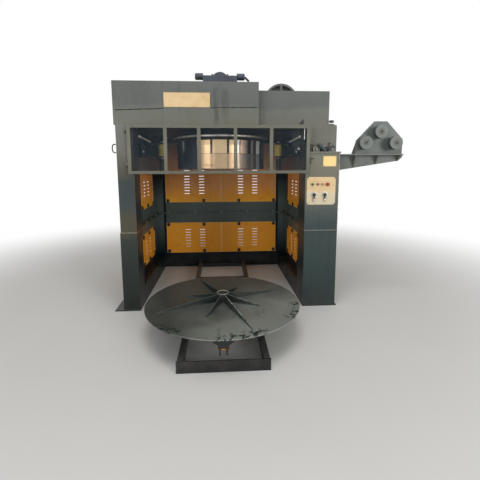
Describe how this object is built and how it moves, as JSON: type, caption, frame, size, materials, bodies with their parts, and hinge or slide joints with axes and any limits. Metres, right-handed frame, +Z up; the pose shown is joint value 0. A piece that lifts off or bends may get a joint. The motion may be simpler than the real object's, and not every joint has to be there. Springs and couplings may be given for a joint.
{
  "type": "wire drawing machine",
  "caption": "Inverted vertical wire drawing machine: drum hung in a portal frame, press rollers, guard door, outrigger with guide pulleys, and a turntable on a trolley.",
  "frame": {"origin": "on the floor under the drum's axis, on the underside of the rails' middle tie", "axes": "+X to the right seen from the front, +Y into the machine, +Z up"},
  "size_m": [3.388, 3.107, 2.906],
  "materials": {
    "grey_green_paint": "satin machine paint, scuffed",
    "dark_green_paint": "satin machine paint, scuffed",
    "yellow_paint": "satin paint on sheet steel",
    "blue_grey_paint": "satin paint on castings",
    "drum_steel": "ground and polished, with wire wear",
    "bright_steel": "turned steel",
    "ochre_roller": "matt roller cover",
    "black_iron": "black paint, worn",
    "beige_plate": "brushed plate, pale",
    "button_plastic": "moulded plastic",
    "window_pane": "clear sheet",
    "turntable_plate": "rolled plate with thin paint, chipped at the rim"
  },
  "bodies": {
    "frame": {"left_hood": "grey_green_paint", "right_hood": "grey_green_paint", "die_table": "grey_green_paint", "outrigger_beam": "grey_green_paint", "pulley_plate": "grey_green_paint", "fan_cowl": "grey_green_paint", "belt_guard": "grey_green_paint", "base_plates": "dark_green_paint", "left_front_column": "dark_green_paint", "right_front_column": "dark_green_paint", "rear_posts": "dark_green_paint", "sills": "dark_green_paint", "mid_rails": "dark_green_paint", "top_rails": "dark_green_paint", "side_plates": "dark_green_paint", "roof_plate": "dark_green_paint", "arm_brackets": "dark_green_paint", "die_box": "dark_green_paint", "rails": "dark_green_paint", "rail_cross_bars": "dark_green_paint", "rear_lower_panels": "yellow_paint", "rear_upper_panels": "yellow_paint", "side_lower_panels": "yellow_paint", "side_upper_panels": "yellow_paint", "gearbox": "blue_grey_paint", "motor": "blue_grey_paint", "door_hinges": "black_iron", "door_latch": "black_iron", "control_plate": "beige_plate", "name_plates": "beige_plate", "push_buttons": "button_plastic"},
    "drum": {"drum": "drum_steel", "drum_flange": "drum_steel", "drum_shaft": "bright_steel"},
    "guard_door": {"guard_door": "grey_green_paint", "guard_windows": "window_pane"},
    "left_press_arm": {"left_press_arm": "dark_green_paint"},
    "right_press_arm": {"right_press_arm": "dark_green_paint"},
    "left_press_roller": {"left_press_roller": "ochre_roller"},
    "right_press_roller": {"right_press_roller": "ochre_roller"},
    "left_die_roller": {"left_die_roller": "bright_steel"},
    "right_die_roller": {"right_die_roller": "bright_steel"},
    "left_guide_pulley": {"left_guide_pulley": "grey_green_paint"},
    "upper_guide_pulley": {"upper_guide_pulley": "grey_green_paint"},
    "right_guide_pulley": {"right_guide_pulley": "grey_green_paint"},
    "left_lever": {"left_lever": "black_iron"},
    "right_lever": {"right_lever": "black_iron"},
    "trolley": {"trolley": "dark_green_paint", "tow_clevis": "black_iron"},
    "turntable": {"turntable": "turntable_plate"}
  },
  "joints": [
    {"name": "drum_spin", "type": "hinge", "parent": "frame", "child": "drum", "pos_m": [0, 0, 1.85], "axis": [0, 0, 1], "continuous": true},
    {"name": "door_swing", "type": "hinge", "parent": "frame", "child": "guard_door", "pos_m": [-1.02, -0.972, 1.837], "axis": [0, 0, -1], "range_deg": [0, 110]},
    {"name": "left_arm_swing", "type": "hinge", "parent": "frame", "child": "left_press_arm", "pos_m": [-0.9, -0.725, 1.845], "axis": [0, 0, -1], "range_deg": [0, 15]},
    {"name": "right_arm_swing", "type": "hinge", "parent": "frame", "child": "right_press_arm", "pos_m": [0.9, -0.725, 1.845], "axis": [0, 0, 1], "range_deg": [0, 15]},
    {"name": "left_roller_spin", "type": "hinge", "parent": "left_press_arm", "child": "left_press_roller", "pos_m": [-0.77474, -0.1505, 1.875], "axis": [0, 0, 1], "continuous": true},
    {"name": "right_roller_spin", "type": "hinge", "parent": "right_press_arm", "child": "right_press_roller", "pos_m": [0.77474, -0.1505, 1.875], "axis": [0, 0, 1], "continuous": true},
    {"name": "left_die_roller_spin", "type": "hinge", "parent": "frame", "child": "left_die_roller", "pos_m": [1.081, -0.888, 1.844], "axis": [0, 1, 0], "continuous": true},
    {"name": "right_die_roller_spin", "type": "hinge", "parent": "frame", "child": "right_die_roller", "pos_m": [1.256, -0.888, 1.844], "axis": [0, 1, 0], "continuous": true},
    {"name": "left_guide_spin", "type": "hinge", "parent": "frame", "child": "left_guide_pulley", "pos_m": [1.65728, -0.884, 1.91796], "axis": [0, 1, 0], "continuous": true},
    {"name": "upper_guide_spin", "type": "hinge", "parent": "frame", "child": "upper_guide_pulley", "pos_m": [1.83256, -0.884, 2.04304], "axis": [0, 1, 0], "continuous": true},
    {"name": "right_guide_spin", "type": "hinge", "parent": "frame", "child": "right_guide_pulley", "pos_m": [2.0112, -0.884, 1.91796], "axis": [0, 1, 0], "continuous": true},
    {"name": "left_lever_turn", "type": "hinge", "parent": "frame", "child": "left_lever", "pos_m": [1.051, -0.96, 1.331], "axis": [0, 1, 0], "range_deg": [-60, 60]},
    {"name": "right_lever_turn", "type": "hinge", "parent": "frame", "child": "right_lever", "pos_m": [1.175, -0.96, 1.331], "axis": [0, 1, 0], "range_deg": [-60, 60]},
    {"name": "trolley_roll", "type": "slide", "parent": "frame", "child": "trolley", "axis": [0, 1, 0], "range_m": [0, 1.441]},
    {"name": "turntable_spin", "type": "hinge", "parent": "trolley", "child": "turntable", "pos_m": [0, -1.441, 0.27], "axis": [0, 0, 1], "continuous": true}
  ]
}
